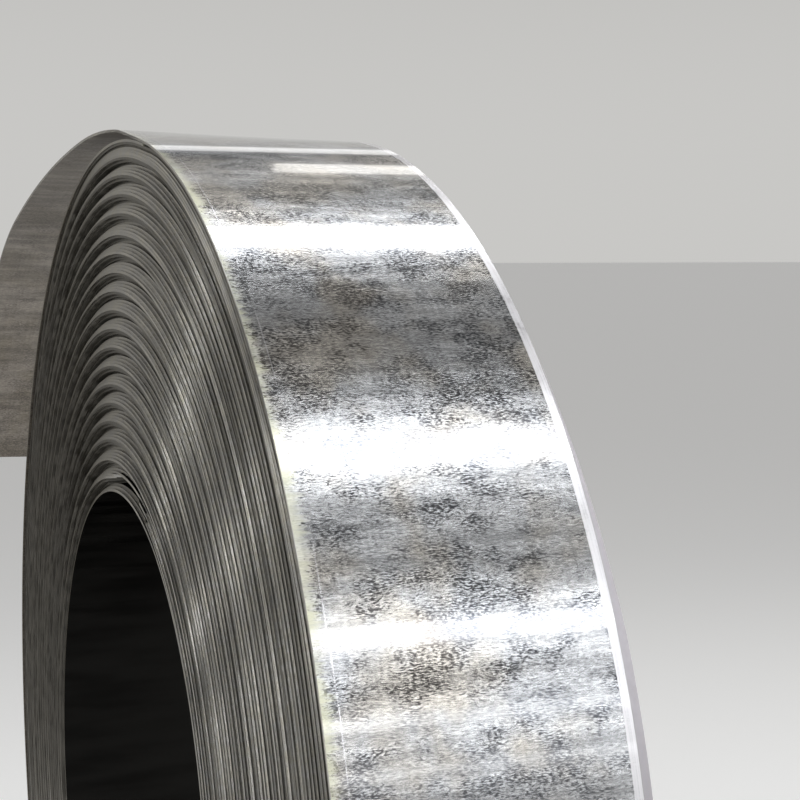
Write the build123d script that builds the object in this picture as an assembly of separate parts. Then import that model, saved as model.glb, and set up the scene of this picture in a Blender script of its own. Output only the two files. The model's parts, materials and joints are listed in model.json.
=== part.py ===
from build123d import *
import os
from math import acos, atan2, cos, degrees, dist, radians, sin

# Steel coil: one long slit strip of galvanised steel, wound on itself round an open bore.
# It lies with its bore level. X runs along the bore, +Z is up, and the loose outer end of the
# strip runs off over the top towards +Y. The origin is the middle of the bore.
# All sizes are in millimetres and all angles in degrees.

# The strip and how it is wound
strip_width = 175.0
strip_thickness = 2.0
bore_radius = 254.0
turns = 133

# The weave: as the strip was wound it wandered from side to side, once in so many turns, so both
# ends of the coil show raised rings. Seen from the rim inwards, each ring on the left end rises
# in a rounded slope to its crest, and drops steeply behind it to the next ring's groove. Places
# in a ring go from 0 to 1. The outermost turn is a crest of its own.
turns_per_ring = 7.08
ring_height = 8.0
crest_place = 0.65
rim_place = 0.70
ring_rounding = 1.5
smallest_step = 0.01

# The dish: each turn lies a little further to the right than the one under it, so the left end
# swells out towards the bore and the right end is hollowed. The innermost turn sets its middle.
dish_depth = 5.5

# The loose outer end: the last turn springs off the coil just before the top and runs away in
# three easy bends, the second nearly flat and the third hanging down behind the coil, to a
# square cut
lift_off_angle = 9.5
first_spring_back = 442.0
first_bend_angle = 13.9
second_spring_back = 1648.0
second_bend_angle = 9.5
third_spring_back = 104.0
third_bend_angle = 44.7

outer_radius = bore_radius + turns * strip_thickness
under_radius = outer_radius - strip_thickness


def weave(turn):
    """How far a turn lies to the right of the bore's middle: its place in the dish and in its ring."""
    turns_over_it = turns - 1 - turn
    dish = dish_depth * turn / (turns - 1)
    if turns_over_it == 0:
        return dish - ring_height / 2
    place = (turns_over_it / turns_per_ring + rim_place) % 1.0
    if place < crest_place:
        from_crest = 1.0 - place / crest_place
    else:
        from_crest = (place - crest_place) / (1.0 - crest_place)
    return dish + ring_height * (from_crest ** ring_rounding - 0.5)


def stair(side):
    """The strip edges on one end, from the bore outwards: a step for each turn."""
    corners = []
    for turn in range(turns - 1):
        place = weave(turn) + side * strip_width / 2
        inside = bore_radius + turn * strip_thickness
        for corner in ((place, inside), (place, inside + strip_thickness)):
            if not corners or dist(corner, corners[-1]) > smallest_step:
                corners.append(corner)
    return corners


def wound_turns():
    """Every turn under the outermost one, turned as one body round the open bore."""
    section = make_face(Polyline(*stair(-1), *reversed(stair(1)), close=True))
    return revolve(section, Axis.X)


def on_circle(centre, radius, angle):
    """A point of a circle in the end view, at an angle from the top towards the rear."""
    return (centre[0] + radius * sin(radians(angle)), centre[1] + radius * cos(radians(angle)))


def bend(centre, radius, start, stop):
    """An arc of the end view from one angle to another."""
    middle = on_circle(centre, radius, (start + stop) / 2)
    return ThreePointArc(on_circle(centre, radius, start), middle, on_circle(centre, radius, stop))


def loose_bends():
    """The bends of the loose end, each starting where the last one stops, along its heading."""
    centre = (0.0, 0.0)
    radius = outer_radius
    angle = -lift_off_angle
    bends = []
    for spring_back, bend_angle in (
        (first_spring_back, first_bend_angle),
        (second_spring_back, second_bend_angle),
        (third_spring_back, third_bend_angle),
    ):
        centre = on_circle(centre, radius - outer_radius - spring_back, angle)
        radius = outer_radius + spring_back
        bends.append((centre, radius, angle, angle + bend_angle))
        angle += bend_angle
    return bends


def outer_turn():
    """The outermost turn and its loose end, drawn as one outline and as wide as the strip."""
    axis = (0.0, 0.0)
    bends = loose_bends()
    first_centre, first_radius, lift_off, first_end = bends[0]

    # The strip's inner face leaves the coil a little after its outer face does
    inner = first_radius - strip_thickness
    across = first_spring_back ** 2 + inner ** 2 - outer_radius ** 2
    crotch = lift_off + degrees(acos(across / (2 * first_spring_back * inner)))
    crotch_point = on_circle(first_centre, inner, crotch)
    crotch_on_coil = degrees(atan2(crotch_point[0], crotch_point[1]))

    outline = [bend(axis, outer_radius, crotch_on_coil, lift_off + 360)]
    for centre, radius, start, stop in bends:
        outline.append(bend(centre, radius, start, stop))
    cut_corner = on_circle(centre, radius, stop)
    outline.append(Line(cut_corner, on_circle(centre, radius - strip_thickness, stop)))
    for centre, radius, start, stop in reversed(bends[1:]):
        outline.append(bend(centre, radius - strip_thickness, stop, start))
    outline.append(bend(first_centre, inner, first_end, crotch))
    end_view = make_face(outline) - Circle(under_radius)
    side = weave(turns - 1) - strip_width / 2
    return Pos(side, 0, 0) * extrude(Plane.YZ * end_view, strip_width)


steel_coil = wound_turns() + outer_turn()
steel_coil.label = "steel_coil"

os.makedirs("parts", exist_ok=True)
export_step(steel_coil, "parts/steel_coil.step")
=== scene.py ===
import json
import math
import random

import bmesh
import bpy
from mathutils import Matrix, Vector


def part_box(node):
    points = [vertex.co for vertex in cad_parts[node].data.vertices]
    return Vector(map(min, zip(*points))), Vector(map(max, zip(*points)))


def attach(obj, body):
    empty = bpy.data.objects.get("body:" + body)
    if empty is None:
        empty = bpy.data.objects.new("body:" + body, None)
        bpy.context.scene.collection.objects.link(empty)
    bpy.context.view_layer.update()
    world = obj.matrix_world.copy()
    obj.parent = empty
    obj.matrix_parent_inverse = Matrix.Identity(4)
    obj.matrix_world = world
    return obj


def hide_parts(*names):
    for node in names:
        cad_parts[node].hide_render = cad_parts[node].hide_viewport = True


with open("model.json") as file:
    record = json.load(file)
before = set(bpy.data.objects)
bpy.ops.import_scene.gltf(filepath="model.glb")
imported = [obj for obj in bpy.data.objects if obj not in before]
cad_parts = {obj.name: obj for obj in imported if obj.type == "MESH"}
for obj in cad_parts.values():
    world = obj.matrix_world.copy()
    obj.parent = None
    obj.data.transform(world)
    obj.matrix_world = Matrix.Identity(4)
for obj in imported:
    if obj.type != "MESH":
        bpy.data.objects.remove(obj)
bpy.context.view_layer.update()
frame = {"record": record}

# The wound turns: all but the last turn of one long strip of galvanised steel, 2 mm thick, wound
# on itself round an open bore. It wandered from side to side as it was wound, so both ends of the
# coil are a field of raised rings and grooves, made of the strip's slit edges.

bore_mount = frame["record"]["mounts"][0]["dims"]
bore_radius = bore_mount["r_mm"] / 1000
strip_width = bore_mount["length_mm"] / 1000
outer_radius = -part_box("steel_coil")[0].z
strip_thickness = 0.002
turns = round((outer_radius - bore_radius) / strip_thickness)
steps_round_coil = 180
smallest_step = 0.00001
same_heading = 0.9999999

# The weave that makes the rings, where places in a ring go from 0 to 1, and the dish of the ends
turns_per_ring = 7.08
ring_height = 0.008
crest_place = 0.65
rim_place = 0.70
ring_rounding = 1.5
dish_depth = 0.0055

# How unevenly the turns lie: from turn to turn, and once and twice on their way round the coil
uneven_turns = 0.00022
wander_once = 0.0004
wander_twice = 0.0002
once_lag = 0.07
twice_lag = 0.13

# The sprung turns near the bore, each with half the angle that it is sunk over
sprung_turns = {3: 0.33, 4: 0.30, 5: 0.24, 6: 0.14}
sprung_middle = -0.12
sprung_depth = 0.050
shaded_depth = 0.008

# The outer turns that lie flush with the rim over the top, by the cosine of the angle from it
flush_turns = 5
flush_share = 0.70
flush_from = 0.45
flush_over = 0.30

# Where the strip leaves the coil, and how the turns under it spiral in behind the coil
lift_off = math.radians(-9.5)
tucked_turns = 12
lead_in = math.radians(4)

# The wound turns' materials, in the order that their piece holds them
edge_slot, outside_slot, inside_slot, painted_shade_slot = range(4)

slit_steel = (0.48, 0.47, 0.45, 1)
slit_steel_warm = (0.52, 0.50, 0.45, 1)
# Painted shade for the upper rear of the left end
slit_painted_shade = (0.13, 0.122, 0.10, 1)
# Painted shade for the slit edges down in the grooves and in the sprung turns' gap
groove_shade = (0.105, 0.100, 0.090, 1)
turn_zinc = (0.74, 0.74, 0.74, 1)
turn_dust = (0.58, 0.57, 0.54, 1)
turn_lilac = (0.52, 0.50, 0.53, 1)
turn_oil = (0.20, 0.19, 0.17, 1)
# Near black for the bore's wall and the sprung gap: painted shade
bore_painted_shade = (0.016, 0.0155, 0.0145, 1)
# Where the painted shade on the left end is deepest, at this angle from the top towards the rear
shaded_side_angle = math.radians(55)


def ring_place(turn):
    """Where a turn is in its ring, from 0 to 1 as the rings follow each other inwards."""
    return ((turns - 1 - turn) / turns_per_ring + rim_place) % 1.0


def under_crest(turn):
    """How deep a turn lies in its ring on the left end: 0 at the crest and 1 in the groove."""
    place = ring_place(turn)
    if turn == turns - 1:
        return 0.0
    if place < crest_place:
        return (1 - place / crest_place) ** ring_rounding
    return ((place - crest_place) / (1 - crest_place)) ** ring_rounding


def weave(turn):
    """How far a turn lies to the right of the bore's middle: its place in the dish and its ring."""
    return dish_depth * turn / (turns - 1) + ring_height * (under_crest(turn) - 0.5)


def stair(mesh, turn_tag, side):
    """One end of the coil in section, from the bore outwards: a corner pushed out turn by turn."""
    corner = mesh.verts.new((weave(0) + side * strip_width / 2, 0, bore_radius))
    corner[turn_tag] = 0
    inner_corner = corner
    for turn in range(turns - 1):
        sideways = Vector((weave(turn) + side * strip_width / 2 - corner.co.x, 0, 0))
        for move in (sideways, Vector((0, 0, strip_thickness))):
            if move.length > smallest_step:
                pushed = bmesh.ops.extrude_vert_indiv(mesh, verts=[corner])["verts"][0]
                pushed.co = corner.co + move
                corner = pushed
            corner[turn_tag] = turn
    return inner_corner, corner


def wander(turn, angle):
    """How a turn's edge strays from the even weave on its way round the coil."""
    depth = turns - 1 - turn
    over_top = 0.0
    if depth <= flush_turns:
        over_top = max(0.0, min(1.0, (math.cos(angle) - flush_from) / flush_over))
    flush = flush_share * ring_height * under_crest(turn) * over_top
    once = wander_once * math.sin(angle + once_lag * depth)
    twice = wander_twice * math.sin(2 * angle - twice_lag * depth)
    return -flush + once + twice


def sunk(turn, angle):
    """How deep a turn's edge is sunk where the innermost turns have sprung away from the rest."""
    if turn not in sprung_turns:
        return 0.0
    away = abs(angle - sprung_middle) / sprung_turns[turn]
    return sprung_depth * (1 - away * away) if away < 1 else 0.0


def tucked(radius, angle):
    """How much lower a turn lies behind the coil, where the strip spirals in under its own end."""
    behind = (angle - lift_off) % (2 * math.pi)
    if behind < math.pi - lift_off:
        drop = strip_thickness * (1 + math.cos(angle)) / (1 + math.cos(lift_off))
    else:
        drop = strip_thickness * max(0.0, 1 - (2 * math.pi - behind) / lead_in)
    under_rim = (outer_radius - strip_thickness - radius) / (tucked_turns * strip_thickness)
    return drop * max(0.0, 1 - under_rim)


def paint_turns(mesh, turn_tone):
    """Gives each face its material, and the tone, the height that sets the painted groove shade,
    and the painted shadow that the slit edges read.
    """
    tone = mesh.faces.layers.float.new("turn_tone")
    level = mesh.faces.layers.float.new("ring_level")
    shadow = mesh.faces.layers.float.new("ring_shadow")
    for face in mesh.faces:
        face.smooth = True
        spans_coil = max(edge.calc_length() for edge in face.edges) > strip_width / 2
        middle = face.calc_center_median()
        angle = math.atan2(middle.y, middle.z)
        outwards = face.normal.dot(Vector((0, middle.y, middle.z)).normalized())
        depth = (middle.yz.length - bore_radius) / strip_thickness - 0.5 * outwards
        turn = max(0, min(turns - 1, int(depth)))
        left_end = middle.x < 0
        raised = 1 - under_crest(turn) if left_end else under_crest(turn)
        face[tone] = turn_tone[turn]
        # The level falls to nothing where a turn is sunk, so the painted groove shade also fills
        # the sprung gap
        face[level] = raised * max(0.0, 1 - sunk(turn, angle) / shaded_depth)
        face[shadow] = float(left_end and ring_place(turn) > crest_place)
        # The bore's wall and the walls in the sprung gap take the near-black material, which is
        # painted shade
        in_gap = max(sunk(near, angle) for near in (turn - 1, turn, turn + 1)) > shaded_depth
        if spans_coil:
            face.material_index = painted_shade_slot if outwards < 0 else outside_slot
        elif abs(face.normal.x) > 0.5:
            face.material_index = edge_slot
        elif in_gap:
            face.material_index = painted_shade_slot
        else:
            face.material_index = outside_slot if outwards > 0 else inside_slot


def crease_turns(mesh):
    """Keeps the corners that run round the coil sharp, and the steps from one to the next soft."""
    for edge in mesh.edges:
        headings = [vert.co.yz.normalized() for vert in edge.verts]
        edge.smooth = headings[0].dot(headings[1]) > same_heading


def shift_turns(mesh, turn_tag, turn_shift):
    """Moves each turn to where it strays, is sunk near the bore and tucked in behind the coil."""
    for vert in mesh.verts:
        turn = vert[turn_tag]
        angle = math.atan2(vert.co.y, vert.co.z)
        inwards = -math.copysign(1, vert.co.x)
        vert.co.x += wander(turn, angle) + turn_shift[turn] + inwards * sunk(turn, angle)
        radius = vert.co.yz.length
        vert.co.yz *= 1 - tucked(radius, angle) / radius


def wind_turns():
    """The turns' section spun round the bore, then painted and moved turn by turn."""
    mesh = bmesh.new()
    turn_tag = mesh.verts.layers.int.new("turn")
    left_bore, left_rim = stair(mesh, turn_tag, -1)
    right_bore, right_rim = stair(mesh, turn_tag, 1)
    mesh.edges.new((left_bore, right_bore))
    mesh.edges.new((left_rim, right_rim))
    bmesh.ops.spin(
        mesh, geom=mesh.verts[:] + mesh.edges[:], cent=(0, 0, 0), axis=(1, 0, 0),
        angle=2 * math.pi, steps=steps_round_coil, use_merge=True,
    )
    bmesh.ops.remove_doubles(mesh, verts=mesh.verts[:], dist=smallest_step / 2)
    bmesh.ops.recalc_face_normals(mesh, faces=mesh.faces[:])
    mesh.normal_update()
    chance = random.Random(7)
    turn_shift = [chance.gauss(0, uneven_turns) for turn in range(turns)]
    turn_tone = [chance.random() for turn in range(turns)]
    paint_turns(mesh, turn_tone)
    crease_turns(mesh)
    shift_turns(mesh, turn_tag, turn_shift)
    return mesh


def finish_piece(name, mesh, materials):
    """Puts a finished bmesh in the scene as a piece of the coil."""
    data = bpy.data.meshes.new(name)
    mesh.to_mesh(data)
    mesh.free()
    for material in materials:
        data.materials.append(material)
    piece = bpy.data.objects.new(name, data)
    bpy.context.scene.collection.objects.link(piece)
    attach(piece, "root")
    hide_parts("steel_coil")


def plug(tree, socket, value):
    """Sets a socket to a value, or joins it to the socket that feeds it."""
    if isinstance(value, bpy.types.NodeSocket):
        tree.links.new(value, socket)
    else:
        socket.default_value = value


def add_node(tree, kind, inputs=None, **options):
    """Adds a node with its options and its inputs."""
    node = tree.nodes.new(kind)
    for option, value in options.items():
        setattr(node, option, value)
    for socket, value in (inputs or {}).items():
        plug(tree, node.inputs[socket], value)
    return node


def maths(tree, operation, *terms):
    """The outcome of a Math node."""
    return add_node(tree, "ShaderNodeMath", dict(enumerate(terms)), operation=operation).outputs[0]


def vectors(tree, operation, *terms):
    """A Vector Math node, whose outcome is a vector or a value."""
    return add_node(tree, "ShaderNodeVectorMath", dict(enumerate(terms)), operation=operation)


def scaled(tree, colour, amount):
    """A colour made lighter or darker."""
    inputs = {0: colour, "Scale": amount}
    return add_node(tree, "ShaderNodeVectorMath", inputs, operation="SCALE").outputs[0]


def fade(tree, value, low, high, bottom=0.0, top=1.0):
    """A soft step from bottom to top as a value goes from low to high."""
    limits = {"Value": value, "From Min": low, "From Max": high, "To Min": bottom, "To Max": top}
    return add_node(tree, "ShaderNodeMapRange", limits, interpolation_type="SMOOTHSTEP").outputs[0]


def blend(tree, amount, first, second):
    """Two colours mixed by an amount."""
    inputs = {0: amount, 6: first, 7: second}
    return add_node(tree, "ShaderNodeMix", inputs, data_type="RGBA").outputs[2]


def noise(tree, place, scale, detail):
    """Even noise, from 0 to 1."""
    inputs = {"Vector": place, "Scale": scale, "Detail": detail}
    return add_node(tree, "ShaderNodeTexNoise", inputs).outputs[0]


def grain(tree, place, scale, stretch=(1, 1, 1), detail=2.0):
    """Noise over a place in metres, so many waves to the metre, drawn out by a stretch."""
    return noise(tree, vectors(tree, "MULTIPLY", place, stretch).outputs[0], scale, detail)


def along_bore(tree, place):
    """How far to the right of the bore's middle a place is."""
    return add_node(tree, "ShaderNodeSeparateXYZ", {0: place}).outputs[0]


def face_value(tree, name):
    """A value that the mesh keeps for each face."""
    return add_node(tree, "ShaderNodeAttribute", attribute_name=name).outputs["Fac"]


def new_material(name):
    """An empty node material with its shader, and where its points lie on the coil."""
    material = bpy.data.materials.new(name)
    material.use_nodes = True
    tree = material.node_tree
    place = tree.nodes.new("ShaderNodeTexCoord").outputs["Object"]
    return material, tree, tree.nodes["Principled BSDF"], place


def feed(tree, shader, **inputs):
    """Joins sockets to the shader's own, and sets those that are the same all over."""
    for name, value in inputs.items():
        plug(tree, shader.inputs[name.replace("_", " ")], value)


def oil_and_shade_material(name, dark_colour, edge_tint):
    """The turns' inner sides: dark and greasy where each turn shows at the ends, and near black on
    the bore's wall and in the sprung gap, which is painted shade.
    """
    material, tree, shader, place = new_material(name)
    smear = grain(tree, place, 60, (0.15, 1, 1), 3.0)
    darkened = scaled(tree, dark_colour[:3], fade(tree, smear, 0.3, 0.7, 0.8, 1.2))
    rough = fade(tree, smear, 0.3, 0.7, 0.42, 0.60)
    feed(tree, shader, Base_Color=darkened, Roughness=rough, Metallic=1.0, Specular_Tint=edge_tint)
    return material


def turn_face_material():
    """The turns' outer sides, where they show at the ends: duller, dusty zinc."""
    material, tree, shader, place = new_material("turn_face")
    dust = grain(tree, place, 240, (1, 1, 1), 3.0)
    dusty = blend(tree, fade(tree, dust, 0.35, 0.65), turn_zinc, turn_dust)
    toned = scaled(tree, dusty, fade(tree, face_value(tree, "turn_tone"), 0.0, 1.0, 0.55, 1.3))
    right_end = fade(tree, along_bore(tree, place), -0.02, 0.02)
    colour = blend(tree, right_end, toned, turn_lilac)
    rough = maths(tree, "MULTIPLY_ADD", right_end, 0.28, fade(tree, dust, 0.3, 0.7, 0.20, 0.26))
    feed(tree, shader, Base_Color=colour, Roughness=rough)
    feed(tree, shader, Metallic=1.0, Specular_Tint=(0.8, 0.79, 0.80, 1))
    return material


def noise_round_coil(tree, outwards, along_radius, waves, detail):
    """Noise that is drawn out round the coil, with so many waves round it."""
    heading = add_node(tree, "ShaderNodeSeparateXYZ", {0: outwards})
    place = add_node(tree, "ShaderNodeCombineXYZ", {
        0: along_radius,
        1: maths(tree, "MULTIPLY", heading.outputs[1], waves),
        2: maths(tree, "MULTIPLY", heading.outputs[2], waves),
    }).outputs[0]
    return noise(tree, place, 1.0, detail)


def slit_edge_material():
    """The slit edges: bare sheared steel, a fine line for each turn, with painted shade down in the
    grooves.
    """
    material, tree, shader, place = new_material("slit_edge")
    spread = vectors(tree, "MULTIPLY", place, (0, 1, 1)).outputs[0]
    radius = vectors(tree, "LENGTH", spread).outputs["Value"]
    outwards = vectors(tree, "NORMALIZE", spread).outputs[0]

    # Where a point is on its turn's edge, and how its turn differs from the next
    turn_place = maths(
        tree, "MULTIPLY_ADD", radius, 1 / strip_thickness, -bore_radius / strip_thickness,
    )
    on_edge = maths(tree, "SUBTRACT", maths(tree, "FRACT", turn_place), 0.5)
    off_middle = maths(tree, "ABSOLUTE", on_edge)
    own_noise = maths(tree, "MULTIPLY", face_value(tree, "turn_tone"), 400.0)
    turn_shade = noise_round_coil(tree, outwards, own_noise, 2.6, 1.0)
    across_lines = maths(tree, "MULTIPLY", radius, 1700.0)
    shear_lines = noise_round_coil(tree, outwards, across_lines, 6.0, 2.0)

    # Painted shade on the upper rear of the left end: the steel there is darkened, and its lines
    # and relief are flattened
    shaded_side_heading = (0, math.sin(shaded_side_angle), math.cos(shaded_side_angle))
    near_shaded_side = vectors(tree, "DOT_PRODUCT", outwards, shaded_side_heading).outputs["Value"]
    left_end = fade(tree, along_bore(tree, place), -0.02, 0.02, 1.0, 0.0)
    under_rim = fade(tree, radius, outer_radius - 0.003, outer_radius - 0.001, 1.0, 0.0)
    wound = maths(tree, "MULTIPLY", left_end, under_rim)
    flattened_side = maths(tree, "MULTIPLY", fade(tree, near_shaded_side, 0.10, 0.60), wound)
    painted_shade_side = maths(tree, "MULTIPLY", fade(tree, near_shaded_side, 0.50, 0.95), wound)
    flatness = maths(tree, "MULTIPLY_ADD", flattened_side, -0.82, 1.0)

    # The steel, lighter and darker from line to line, and painted shade in the grooves and where
    # the sprung turns are sunk
    warmth = fade(tree, grain(tree, place, 120), 0.4, 0.62)
    steel = blend(tree, warmth, slit_steel, slit_steel_warm)
    # Painted shade darkens the steel on the upper rear of the left end
    steel = blend(tree, painted_shade_side, steel, slit_painted_shade)
    lines = maths(
        tree, "ADD",
        maths(tree, "MULTIPLY", turn_shade, 0.6), maths(tree, "MULTIPLY", shear_lines, 0.4),
    )
    between_turns = fade(tree, off_middle, 0.38, 0.50, 1.0, 0.5)
    lined = maths(tree, "MULTIPLY", fade(tree, lines, 0.36, 0.64, 0.6, 1.4), between_turns)
    shade = maths(tree, "MULTIPLY_ADD", maths(tree, "SUBTRACT", lined, 1.0), flatness, 1.0)
    shaded = maths(tree, "MULTIPLY_ADD", face_value(tree, "ring_shadow"), -0.55, 1.0)
    shade = maths(tree, "MULTIPLY", shade, shaded)
    # Painted shade: the low flats in each groove are darkened
    raised = fade(tree, face_value(tree, "ring_level"), 0.0, 0.25)
    colour = blend(tree, raised, groove_shade, scaled(tree, steel, shade))

    # The edges' relief: a low dome on each turn, tilted its own way
    dome = fade(tree, off_middle, 0.10, 0.50, 0.40, 0.0)
    lean = maths(tree, "MULTIPLY", on_edge, 3.0)
    tilt = maths(tree, "MULTIPLY", maths(tree, "SUBTRACT", turn_shade, 0.5), lean)
    relief = maths(tree, "ADD", dome, tilt)
    relief = maths(tree, "ADD", relief, maths(tree, "MULTIPLY", shear_lines, 0.35))
    relief = maths(tree, "MULTIPLY", relief, flatness)
    bump = add_node(tree, "ShaderNodeBump", {"Strength": 0.5, "Distance": 0.0006, "Height": relief})
    rough = fade(tree, warmth, 0.0, 1.0, 0.34, 0.42)
    feed(tree, shader, Base_Color=colour, Roughness=rough, Normal=bump.outputs[0])
    feed(tree, shader, Metallic=1.0, Specular_Tint=(0.50, 0.49, 0.47, 1))
    return material


slit_edge = slit_edge_material()
turn_face = turn_face_material()
under_face = oil_and_shade_material("under_face", turn_oil, (0.40, 0.38, 0.36, 1))
# The bore's wall is near black: painted shade
bore_face = oil_and_shade_material("bore_face", bore_painted_shade, (0.25, 0.24, 0.23, 1))
finish_piece("wound_turns", wind_turns(), [slit_edge, turn_face, under_face, bore_face])

# The outer turn: the last turn of the same strip, bright zinc outside and duller inside. It lies
# on the turns under it all the way round, springs off the coil just before the top and hangs down
# behind it in three easy bends, to a square cut.

first_bend = math.radians(13.9)
second_bend = math.radians(9.5)
third_bend = math.radians(44.7)
first_radius = outer_radius + 0.442
second_radius = outer_radius + 1.648
third_radius = outer_radius + 0.104
strip_left = weave(turns - 1) - strip_width / 2
strip_right = strip_left + strip_width
loose_twist = 0.0025
edge_rounding = 0.0003
parts_across = 24
sharpest_bend = math.radians(35)

# The strip's materials, in the order that its piece holds them
zinc_slot, slit_slot, inner_slot = range(3)

zinc_pale = (0.58, 0.59, 0.61, 1)
zinc_warm = (0.55, 0.52, 0.475, 1)
zinc_dark = (0.095, 0.103, 0.122, 1)
zinc_warm_dark = (0.125, 0.112, 0.103, 1)
rubbed_left = (0.68, 0.68, 0.52, 1)
rubbed_right = (0.88, 0.87, 0.90, 1)
inner_pale = (0.215, 0.195, 0.170, 1)
inner_warm = (0.19, 0.17, 0.14, 1)
inner_dark = (0.09, 0.08, 0.075, 1)

# The rubbed bands along the strip's edges, and the scratch beside the left one
left_band_width = 0.0115
left_band_fades_over = 0.009
right_band_width = 0.0054
right_band_fades_over = 0.0006
scratch_place = 0.0115
scratch_sway = 0.003


def at(radius, angle, centre=Vector((0, 0, 0))):
    """A point at an angle from the top towards the rear, round a centre."""
    return centre + Vector((0, radius * math.sin(angle), radius * math.cos(angle)))


def strip_section(mesh, outside, inside):
    """The strip's cross-section as a loop of edges, with its slit corners a little rounded."""
    left = Vector((strip_left, 0, 0))
    right = left + Vector((strip_width, 0, 0))
    places = (outside + left, outside + right, inside + right, inside + left)
    corners = [mesh.verts.new(place) for place in places]
    mesh.faces.new(corners)
    bmesh.ops.bevel(
        mesh, geom=corners, offset=edge_rounding, segments=1, profile=0.5, affect="VERTICES",
        material=-1,
    )
    bmesh.ops.delete(mesh, geom=mesh.faces[:], context="FACES_ONLY")
    long_edges = [edge for edge in mesh.edges if edge.calc_length() > strip_width / 2]
    bmesh.ops.subdivide_edges(mesh, edges=long_edges, cuts=parts_across - 1)
    return mesh.verts[:] + mesh.edges[:]


def paint_outer_turn(mesh):
    """Gives each face its material and keeps the strip's corners sharp."""
    level = mesh.faces.layers.float.new("ring_level")
    tone = mesh.faces.layers.float.new("turn_tone")
    for face in mesh.faces:
        face.smooth = True
        face[level] = 1.0
        face[tone] = 1.0
        middle = face.calc_center_median()
        if abs(face.normal.x) > 0.5:
            face.material_index = slit_slot
        elif face.normal.dot(Vector((0, middle.y, middle.z))) < 0:
            face.material_index = inner_slot
        else:
            face.material_index = zinc_slot
    for edge in mesh.edges:
        edge.smooth = edge.calc_face_angle(0) < sharpest_bend


def wind_outer_turn():
    """The strip's section swept round the coil, off it and down behind it, with a slight twist."""
    mesh = bmesh.new()
    tuck = strip_thickness / (1 + math.cos(lift_off))
    rear_centre = Vector((0, 0, -tuck))
    rear_radius = outer_radius - tuck
    first_centre = at(outer_radius - first_radius, lift_off)
    second_centre = at(first_radius - second_radius, lift_off + first_bend, first_centre)
    third_start = lift_off + first_bend + second_bend
    third_centre = at(second_radius - third_radius, third_start, second_centre)
    outside = at(rear_radius, lift_off, rear_centre)
    inside = at(rear_radius - strip_thickness, lift_off, rear_centre)
    section = strip_section(mesh, outside, inside)
    on_coil = (
        (rear_centre, math.pi - lift_off, 200),
        (Vector((0, 0, 0)), math.pi + lift_off, 160),
    )
    off_coil = (
        (first_centre, first_bend, 40),
        (second_centre, second_bend, 40),
        (third_centre, third_bend, 60),
    )
    for bends in (on_coil, off_coil):
        wound = len(mesh.verts)
        for centre, angle, steps in bends:
            swept = bmesh.ops.spin(
                mesh, geom=section, cent=centre, axis=(-1, 0, 0), angle=angle, steps=steps,
            )
            section = swept["geom_last"]
    mesh.verts.ensure_lookup_table()
    for vert in mesh.verts[wound:]:
        loose = min(1.0, 1 - vert.co.y / outside.y)
        off_middle = (vert.co.x - strip_left - strip_width / 2) / (strip_width / 2)
        vert.co.z -= loose_twist * loose * loose * off_middle
    ends = [edge for edge in mesh.edges if edge.is_boundary]
    bmesh.ops.holes_fill(mesh, edges=ends, sides=0)
    bmesh.ops.recalc_face_normals(mesh, faces=mesh.faces[:])
    mesh.normal_update()
    paint_outer_turn(mesh)
    return mesh


def new_group(name, inputs, outputs):
    """An empty node group with its sockets."""
    group = bpy.data.node_groups.new(name, "ShaderNodeTree")
    for label, kind in inputs:
        group.interface.new_socket(name=label, in_out="INPUT", socket_type=kind)
    for label, kind in outputs:
        group.interface.new_socket(name=label, in_out="OUTPUT", socket_type=kind)
    return group, group.nodes.new("NodeGroupInput"), group.nodes.new("NodeGroupOutput")


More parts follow.
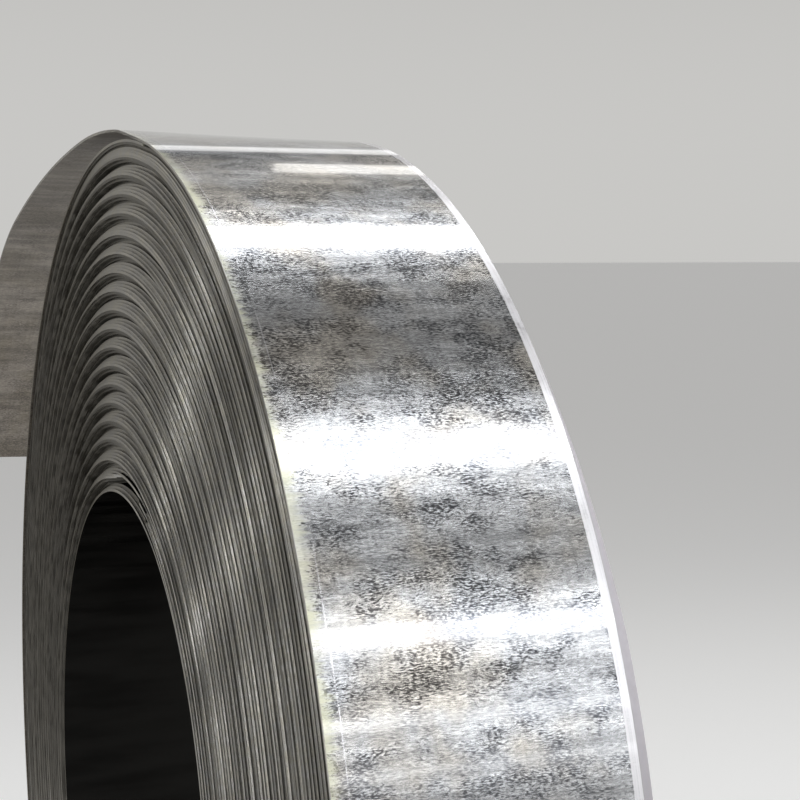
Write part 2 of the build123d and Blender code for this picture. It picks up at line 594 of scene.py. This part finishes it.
def galvanised_mottle():
    """The mottle of a zinc coat: clumps of dark dashes, pale and warm patches, rolling streaks."""
    tree, given, made = new_group(
        "galvanised_mottle",
        [("Place", "NodeSocketVector"), ("Pale", "NodeSocketColor"), ("Warm", "NodeSocketColor"),
         ("Dark", "NodeSocketColor"), ("Warm dark", "NodeSocketColor"),
         ("Speckle", "NodeSocketFloat")],
        [("Colour", "NodeSocketColor"), ("Speckles", "NodeSocketFloat"),
         ("Streaks", "NodeSocketFloat")],
    )
    place, pale, warm, dark, warm_dark, strength = given.outputs[:6]

    # The dashes lie across the strip, curl a little and crowd together in clumps
    curl = grain(tree, place, 170, detail=1.0).node.outputs["Color"]
    centred = vectors(tree, "SUBTRACT", curl, (0.5, 0.5, 0.5)).outputs[0]
    curled = vectors(tree, "MULTIPLY_ADD", centred, (0.0018, 0.0018, 0.0018), place).outputs[0]
    broad = maths(tree, "MULTIPLY", grain(tree, place, 9, detail=1.0), 0.35)
    clump_level = maths(tree, "ADD", grain(tree, place, 66, (0.70, 1, 1), 5.0), broad)
    clumps = fade(tree, clump_level, 0.52, 0.86)
    dash_noise = grain(tree, curled, 1500, (0.27, 1, 1), 2.5)
    dashes = fade(tree, maths(tree, "MULTIPLY_ADD", clumps, 0.11, dash_noise), 0.535, 0.69)
    clumped = maths(tree, "MULTIPLY", dashes, fade(tree, clumps, 0.0, 0.8, 0.50, 1.0))
    speckles = maths(tree, "MULTIPLY", clumped, strength)
    light_hairs = maths(tree, "MULTIPLY", fade(tree, dash_noise, 0.34, 0.46, 0.30, 0.0), clumps)

    # The ground goes from pale to warm in patches, with fine streaks both ways
    streaks = grain(tree, curled, 1250, (0.16, 1, 1), 2.0)
    drawn_out = grain(tree, place, 110, (0.10, 1, 1), 3.0)
    rolled = grain(tree, place, 500, (1, 0.015, 0.015), 2.0)
    warmth = fade(tree, grain(tree, place, 18, detail=3.0), 0.42, 0.66)
    ground = blend(tree, warmth, pale, warm)
    ground = blend(tree, maths(tree, "MULTIPLY", clumps, 0.20), ground, dark)
    marked = blend(tree, warmth, dark, warm_dark)
    across_shade = fade(tree, streaks, 0.32, 0.68, 0.80, 1.20)
    shade = maths(tree, "MULTIPLY", across_shade, fade(tree, rolled, 0.3, 0.7, 0.95, 1.05))
    shade = maths(tree, "MULTIPLY", shade, fade(tree, drawn_out, 0.32, 0.68, 0.80, 1.20))
    shade = maths(tree, "ADD", shade, light_hairs)
    colour = blend(tree, speckles, scaled(tree, ground, shade), marked)
    for name, socket in (("Colour", colour), ("Speckles", speckles), ("Streaks", streaks)):
        tree.links.new(socket, made.inputs[name])
    return tree


def zinc_mottle(tree, place, pale, warm, dark, warm_dark, strength):
    """The shared mottle, placed in a material with its own colours."""
    inputs = {
        "Place": place, "Pale": pale, "Warm": warm, "Dark": dark, "Warm dark": warm_dark,
        "Speckle": strength,
    }
    return add_node(tree, "ShaderNodeGroup", inputs, node_tree=mottle_group).outputs


def zinc_face_material():
    """The strip's outer side: bright zinc, with a rubbed band along each slit edge."""
    material, tree, shader, place = new_material("zinc_face")
    mottle = zinc_mottle(tree, place, zinc_pale, zinc_warm, zinc_dark, zinc_warm_dark, 1.0)
    across = along_bore(tree, place)

    # The left band is ragged and patchy
    jagged = maths(tree, "MULTIPLY", grain(tree, place, 500, (0.12, 1, 1), 3.0), 0.014)
    drifting = maths(tree, "MULTIPLY", grain(tree, place, 22, (0.2, 1, 1)), 0.010)
    ragged = maths(tree, "ADD", maths(tree, "ADD", across, jagged), drifting)
    left_band_stop = strip_left + left_band_width
    left_band = fade(tree, ragged, left_band_stop, left_band_stop + left_band_fades_over, 1.0, 0.0)
    patchy = fade(tree, grain(tree, place, 60, (0.3, 1, 1), 3.0), 0.35, 0.65, 0.45, 0.90)
    colour = blend(tree, maths(tree, "MULTIPLY", left_band, patchy), mottle["Colour"], rubbed_left)

    # A fine scratch sways along beside it, and comes and goes
    sway = noise(tree, place, 14.0, 3.0)
    beside = maths(tree, "SUBTRACT", across, strip_left + scratch_place)
    off_scratch = maths(tree, "ABSOLUTE", maths(tree, "MULTIPLY_ADD", sway, scratch_sway, beside))
    scratch = fade(tree, off_scratch, 0.0002, 0.0006, 0.45, 0.0)
    scratch = maths(tree, "MULTIPLY", scratch, fade(tree, sway, 0.46, 0.54))
    colour = blend(tree, scratch, colour, rubbed_right)

    # The right band is even, with hairlines along it
    right_band_start = strip_right - right_band_width - right_band_fades_over
    right_band = fade(tree, across, right_band_start, strip_right - right_band_width)
    hairlines = fade(tree, grain(tree, place, 1500, (1, 0.02, 0.02), 1.0), 0.35, 0.6, 0.75, 1.0)
    colour = blend(tree, maths(tree, "MULTIPLY", right_band, hairlines), colour, rubbed_right)

    rough = maths(tree, "MULTIPLY_ADD", mottle["Speckles"], -0.12, 0.25)
    bands = maths(tree, "MAXIMUM", left_band, right_band)
    rough = maths(tree, "MULTIPLY_ADD", bands, 0.16, rough)
    relief = {"Strength": 0.02, "Distance": 0.0002, "Height": mottle["Streaks"]}
    bump = add_node(tree, "ShaderNodeBump", relief)
    feed(tree, shader, Base_Color=colour, Roughness=rough, Normal=bump.outputs[0])
    feed(tree, shader, Metallic=1.0, Coat_Weight=1.0, Coat_Roughness=0.06)
    return material


def inner_face_material():
    """The strip's inner side: a duller, oiled zinc."""
    material, tree, shader, place = new_material("inner_face")
    mottle = zinc_mottle(tree, place, inner_pale, inner_warm, inner_dark, inner_dark, 0.5)
    rough = maths(tree, "MULTIPLY_ADD", mottle["Speckles"], 0.2, 0.38)
    feed(tree, shader, Base_Color=mottle["Colour"], Roughness=rough, Metallic=1.0)
    return material


mottle_group = galvanised_mottle()
zinc_face = zinc_face_material()
inner_face = inner_face_material()
finish_piece("outer_turn", wind_outer_turn(), [zinc_face, slit_edge, inner_face])

# The studio: a plain pale floor and soft lamps. The long lamps hang where the coil mirrors them
# to the camera, each at its own angle round the coil.

# The camera's place is in outer radii from the bore's middle
camera_place = Vector((-0.696, -2.544, 0.837))
camera_yaw = math.radians(21.45)
camera_pitch = math.radians(-5.35)
floor_reach = 150
floor_glow = 0.235
lamp_distance = 2.6
daylight = (0.97, 0.985, 1.0)
warm_light = (1, 0.97, 0.92)
soft_light = (1, 0.98, 0.95)
white_light = (1, 1, 1)
horizon_sky = (0.58, 0.575, 0.56, 1)
upper_sky = (0.27, 0.265, 0.255, 1)
overhead_sky = (0.225, 0.22, 0.21, 1)
shaded_sky = (0.075, 0.078, 0.084, 1)

camera_data = bpy.data.cameras.new("camera")
camera = bpy.data.objects.new("camera", camera_data)
bpy.context.scene.collection.objects.link(camera)
camera.location = camera_place * outer_radius
camera.location.x += weave(turns - 1)
looking = Vector((
    math.sin(camera_yaw) * math.cos(camera_pitch),
    math.cos(camera_yaw) * math.cos(camera_pitch),
    math.sin(camera_pitch),
))
camera.rotation_mode = "QUATERNION"
camera.rotation_quaternion = looking.to_track_quat("-Z", "Y")
camera_data.sensor_width = 36
camera_data.lens = 80.1
camera_data.shift_x = -0.032
camera_data.shift_y = 0.024
bpy.context.scene.camera = camera

floor_mesh = bmesh.new()
bmesh.ops.create_grid(floor_mesh, x_segments=1, y_segments=1, size=floor_reach)
floor_data = bpy.data.meshes.new("floor")
floor_mesh.to_mesh(floor_data)
floor_mesh.free()
floor = bpy.data.objects.new("floor", floor_data)
floor.location.z = -outer_radius
bpy.context.scene.collection.objects.link(floor)
floor_paint, floor_tree, floor_shader = new_material("floor_paint")[:3]
rays = floor_tree.nodes.new("ShaderNodeLightPath").outputs
mirrored_rays = maths(floor_tree, "MAXIMUM", rays["Is Glossy Ray"], rays["Is Transmission Ray"])
seen = maths(floor_tree, "MAXIMUM", rays["Is Camera Ray"], mirrored_rays)
glow = blend(floor_tree, seen, (0, 0, 0, 1), (1, 1, 1, 1))
feed(floor_tree, floor_shader, Base_Color=(0.80, 0.80, 0.80, 1), Roughness=0.9)
feed(floor_tree, floor_shader, Emission_Strength=floor_glow, Emission_Color=glow)
floor_data.materials.append(floor_paint)


def hang_lamp(name, coil_angle, spread, brightness, middle=-0.4, length=6.0, colour=daylight):
    """A long soft lamp, hung where the coil mirrors it to the camera at one angle of its front."""
    angle = math.radians(coil_angle)
    normal = Vector((0, -math.cos(angle), math.sin(angle)))
    spot = normal * outer_radius
    sight = spot - camera.location
    sight.x = 0
    sight.normalize()
    mirrored = sight - 2 * sight.dot(normal) * normal
    lamp_data = bpy.data.lights.new(name, "AREA")
    lamp_data.shape = "RECTANGLE"
    lamp_data.size = length
    lamp_data.size_y = 2 * lamp_distance * math.tan(math.radians(spread) / 2)
    lamp_data.energy = brightness * math.pi * lamp_data.size * lamp_data.size_y
    lamp_data.color = colour
    lamp = bpy.data.objects.new(name, lamp_data)
    lamp.location = spot + mirrored * lamp_distance
    lamp.location.x = middle
    lamp.rotation_mode = "QUATERNION"
    lamp.rotation_quaternion = (-mirrored).to_track_quat("-Z", "Y")
    bpy.context.scene.collection.objects.link(lamp)


# From the top of the coil down its front. The two rear lamps are stepped, so their ends fade out.
hang_lamp("lamp_rear_low", 76.9, 4.4, 1.0, 0.4, 4.0, white_light)
for step in range(4):
    rear_middle = 1.56 + 0.10 * step
    rear_length = 1.60 - 0.20 * step
    hang_lamp(f"lamp_rear_{step}", 71.0, 5.0, 1.9, rear_middle, rear_length, warm_light)
    left_angle = 70.0 - 0.7 * step
    left_middle = -0.70 + 0.22 * step
    hang_lamp(f"lamp_rear_left_{step}", left_angle, 5.0, 0.30, left_middle, 1.7, soft_light)
hang_lamp("lamp_top_rear", 58.8, 6.6, 6.5)
hang_lamp("lamp_top", 39.0, 6.6, 6.5)
hang_lamp("lamp_front_high", 27.0, 3.6, 7.6)
hang_lamp("lamp_front", 22.0, 2.1, 6.3)
hang_lamp("lamp_front_low", 19.1, 1.5, 4.4)

world = bpy.data.worlds.new("studio")
bpy.context.scene.world = world
world.use_nodes = True
sky = world.node_tree
direction = sky.nodes.new("ShaderNodeTexCoord").outputs["Generated"]
height = add_node(sky, "ShaderNodeSeparateXYZ", {0: direction}).outputs[2]
low_sky = blend(sky, fade(sky, height, 0.05, 0.50), horizon_sky, upper_sky)
high_sky = blend(sky, fade(sky, height, 0.82, 0.96), low_sky, overhead_sky)
in_shade = maths(sky, "SUBTRACT", fade(sky, height, 0.375, 0.42), fade(sky, height, 0.47, 0.52))
sky_light = blend(sky, in_shade, high_sky, shaded_sky)
sky.links.new(sky_light, sky.nodes["Background"].inputs["Color"])

bpy.context.scene.view_settings.view_transform = "Standard"
